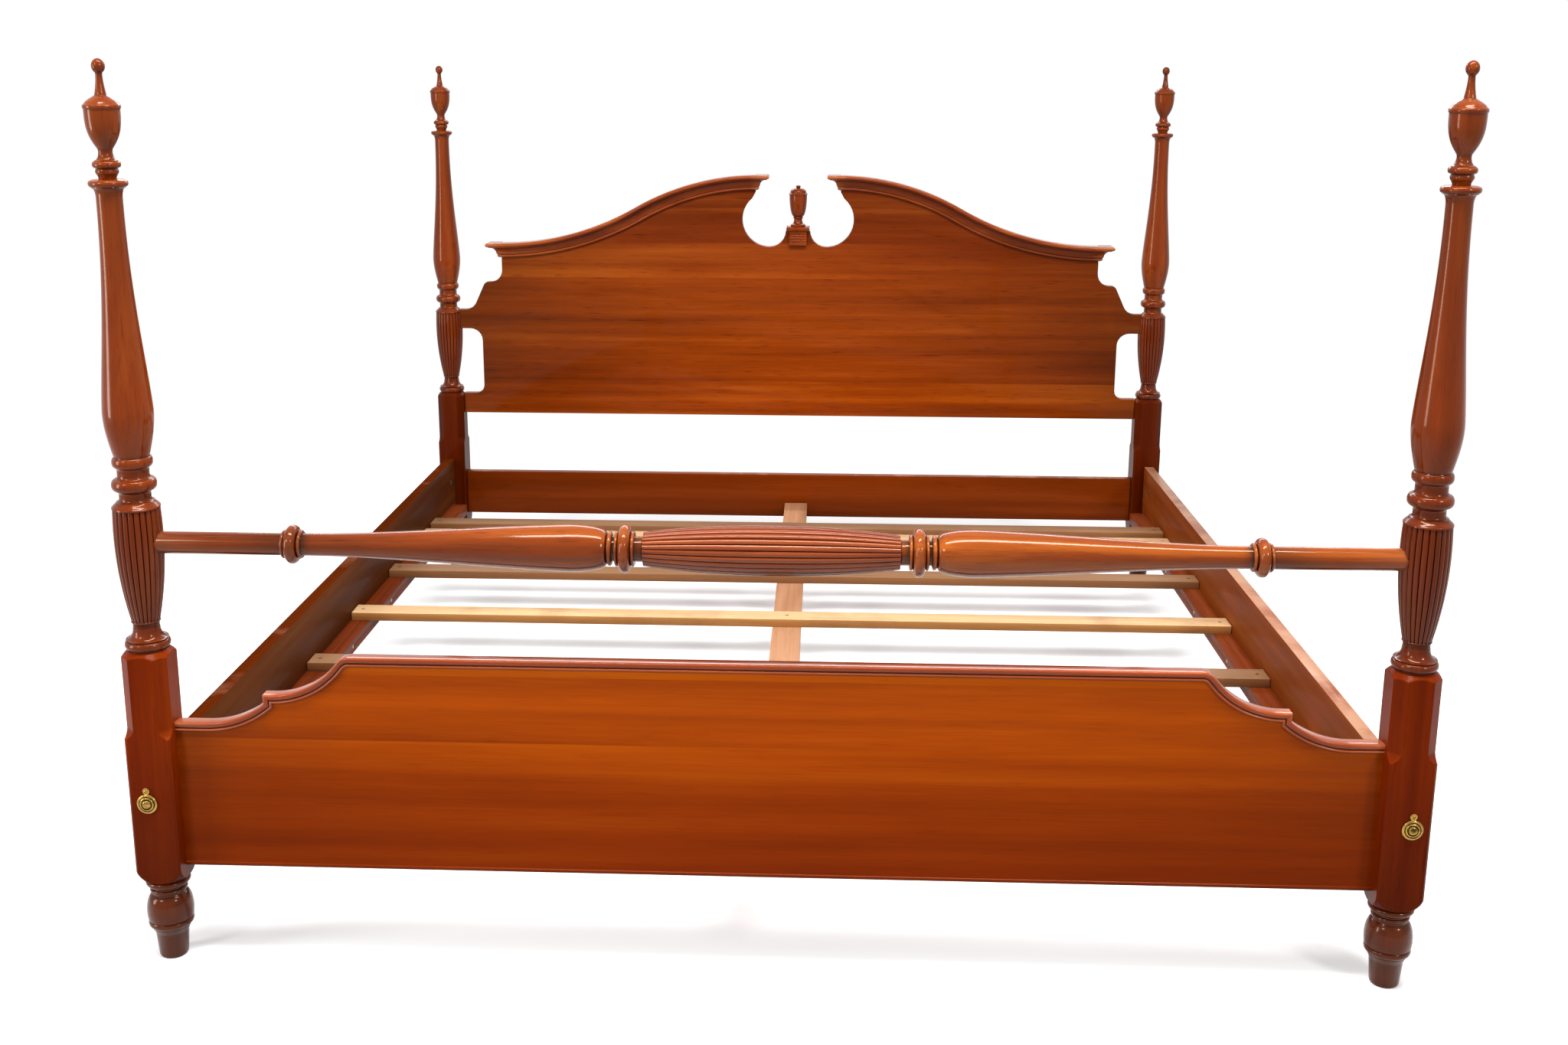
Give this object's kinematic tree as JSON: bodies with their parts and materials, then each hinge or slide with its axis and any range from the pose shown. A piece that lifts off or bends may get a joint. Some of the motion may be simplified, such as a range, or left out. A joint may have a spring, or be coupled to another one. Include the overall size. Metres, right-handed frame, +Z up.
{
  "type": "four-poster bed",
  "caption": "Four-poster bed with turned and reeded posts, urn finials, a swan-neck headboard, a shaped footboard, a turned blanket rail and bolted side rails with slats.",
  "frame": {"origin": "on the floor, midway between the posts", "axes": "+Z up, -Y towards the foot end, +X to the right seen from the foot end"},
  "size_m": [2.0602, 2.2196, 1.45],
  "materials": {
    "dark_turned_wood": "gloss",
    "cherry": "gloss",
    "cleat_wood": "satin",
    "pale_wood": "matte",
    "antique_brass": "satin",
    "zinc_steel": "satin"
  },
  "bodies": {
    "frame": {"foot_post_left": "dark_turned_wood", "foot_post_right": "dark_turned_wood", "head_post_left": "dark_turned_wood", "head_post_right": "dark_turned_wood", "headboard_panel": "cherry", "crown_moulding_left": "cherry", "crown_moulding_right": "cherry", "plinth_block": "cherry", "plinth_cap": "cherry", "centre_urn": "dark_turned_wood", "head_rail": "cherry", "footboard_panel": "cherry", "blanket_rail": "cherry", "side_rail_left": "cherry", "side_rail_right": "cherry", "cleat_left": "cleat_wood", "cleat_right": "cleat_wood", "slat_1": "pale_wood", "slat_2": "pale_wood", "slat_3": "pale_wood", "slat_4": "pale_wood", "slat_5": "pale_wood", "slat_6": "pale_wood", "centre_support": "pale_wood", "support_leg_1": "pale_wood", "support_leg_2": "pale_wood", "support_leg_3": "pale_wood", "cover_screws": "antique_brass", "bed_bolts": "zinc_steel", "barrel_nuts": "zinc_steel", "slat_screws": "zinc_steel", "cleat_screws": "zinc_steel"},
    "foot_finial_left": {"foot_finial_left": "dark_turned_wood"},
    "foot_finial_right": {"foot_finial_right": "dark_turned_wood"},
    "head_finial_left": {"head_finial_left": "dark_turned_wood"},
    "head_finial_right": {"head_finial_right": "dark_turned_wood"},
    "foot_bolt_cover_left": {"foot_bolt_cover_left": "antique_brass"},
    "foot_bolt_cover_right": {"foot_bolt_cover_right": "antique_brass"},
    "head_bolt_cover_left": {"head_bolt_cover_left": "antique_brass"},
    "head_bolt_cover_right": {"head_bolt_cover_right": "antique_brass"}
  },
  "joints": [
    {"name": "foot_finial_left_lift", "type": "slide", "parent": "frame", "child": "foot_finial_left", "axis": [0, 0, 1], "range_m": [0, 0.06]},
    {"name": "foot_finial_right_lift", "type": "slide", "parent": "frame", "child": "foot_finial_right", "axis": [0, 0, 1], "range_m": [0, 0.06]},
    {"name": "head_finial_left_lift", "type": "slide", "parent": "frame", "child": "head_finial_left", "axis": [0, 0, 1], "range_m": [0, 0.06]},
    {"name": "head_finial_right_lift", "type": "slide", "parent": "frame", "child": "head_finial_right", "axis": [0, 0, 1], "range_m": [0, 0.06]},
    {"name": "foot_bolt_cover_left_swing", "type": "hinge", "parent": "frame", "child": "foot_bolt_cover_left", "pos_m": [-0.9995, -1.1033, 0.307], "axis": [0, 1, 0], "continuous": true},
    {"name": "foot_bolt_cover_right_swing", "type": "hinge", "parent": "frame", "child": "foot_bolt_cover_right", "pos_m": [0.9995, -1.1033, 0.307], "axis": [0, 1, 0], "continuous": true},
    {"name": "head_bolt_cover_left_swing", "type": "hinge", "parent": "frame", "child": "head_bolt_cover_left", "pos_m": [-0.9995, 1.1033, 0.307], "axis": [0, -1, 0], "continuous": true},
    {"name": "head_bolt_cover_right_swing", "type": "hinge", "parent": "frame", "child": "head_bolt_cover_right", "pos_m": [0.9995, 1.1033, 0.307], "axis": [0, -1, 0], "continuous": true}
  ]
}
